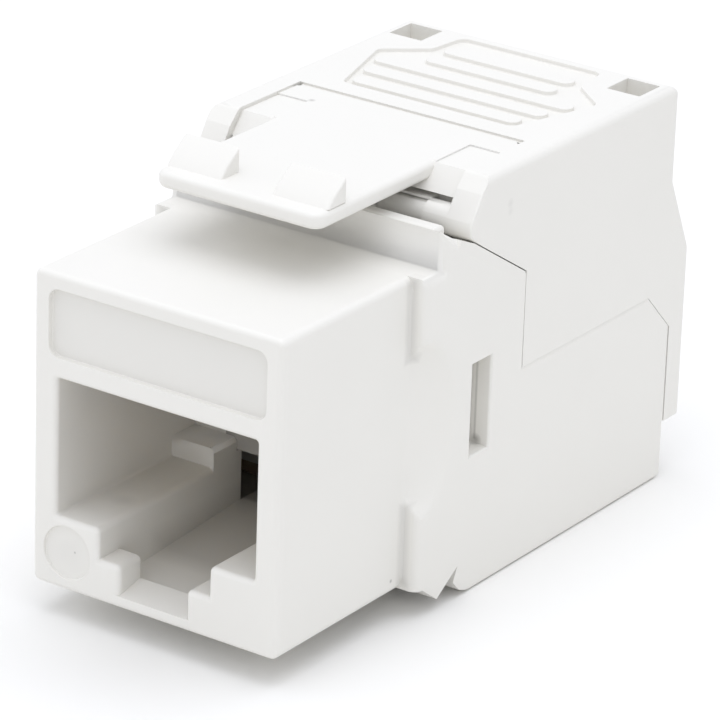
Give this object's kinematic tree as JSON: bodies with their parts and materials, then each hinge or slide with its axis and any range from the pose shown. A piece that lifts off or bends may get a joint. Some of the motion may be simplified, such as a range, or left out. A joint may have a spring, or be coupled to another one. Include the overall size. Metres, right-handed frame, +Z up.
{
  "type": "keystone jack",
  "caption": "White snap-in modular socket with a plug port, a sprung panel latch and a hinged rear cap that presses wires onto blades.",
  "frame": {"origin": "centre of the bounding box, on the face that the jack rests on", "axes": "+X across the port, -Y out of the plug port, +Z up towards the panel latch"},
  "size_m": [0.0164, 0.0346, 0.023],
  "materials": {
    "white_moulding": "fine satin moulded plastic",
    "black_carrier": "matt moulded plastic",
    "green_board": "solder mask over glass laminate",
    "gold_contact": "gold plated spring wire",
    "tinned_blade": "tin plated stamping"
  },
  "bodies": {
    "housing": {"front_housing": "white_moulding", "idc_block": "white_moulding", "contact_insert": "black_carrier", "circuit_board": "green_board", "contact_spring_1": "gold_contact", "contact_spring_2": "gold_contact", "contact_spring_3": "gold_contact", "contact_spring_4": "gold_contact", "contact_spring_5": "gold_contact", "contact_spring_6": "gold_contact", "contact_spring_7": "gold_contact", "contact_spring_8": "gold_contact", "idc_blade_1": "tinned_blade", "idc_blade_2": "tinned_blade", "idc_blade_3": "tinned_blade", "idc_blade_4": "tinned_blade", "idc_blade_5": "tinned_blade", "idc_blade_6": "tinned_blade", "idc_blade_7": "tinned_blade", "idc_blade_8": "tinned_blade"},
    "cap": {"rear_cap": "white_moulding", "wire_guide": "white_moulding"},
    "latch": {"release_latch": "white_moulding"}
  },
  "joints": [
    {"name": "cap_hinge", "type": "hinge", "parent": "housing", "child": "cap", "pos_m": [0, -0.0027, 0.01945], "axis": [1, 0, 0], "range_deg": [0, 90]},
    {"name": "latch_flex", "type": "hinge", "parent": "housing", "child": "latch", "pos_m": [0, 0.00015, 0.0196], "axis": [1, 0, 0], "range_deg": [0, 5], "stiffness_Nm_per_rad": 0.3}
  ]
}
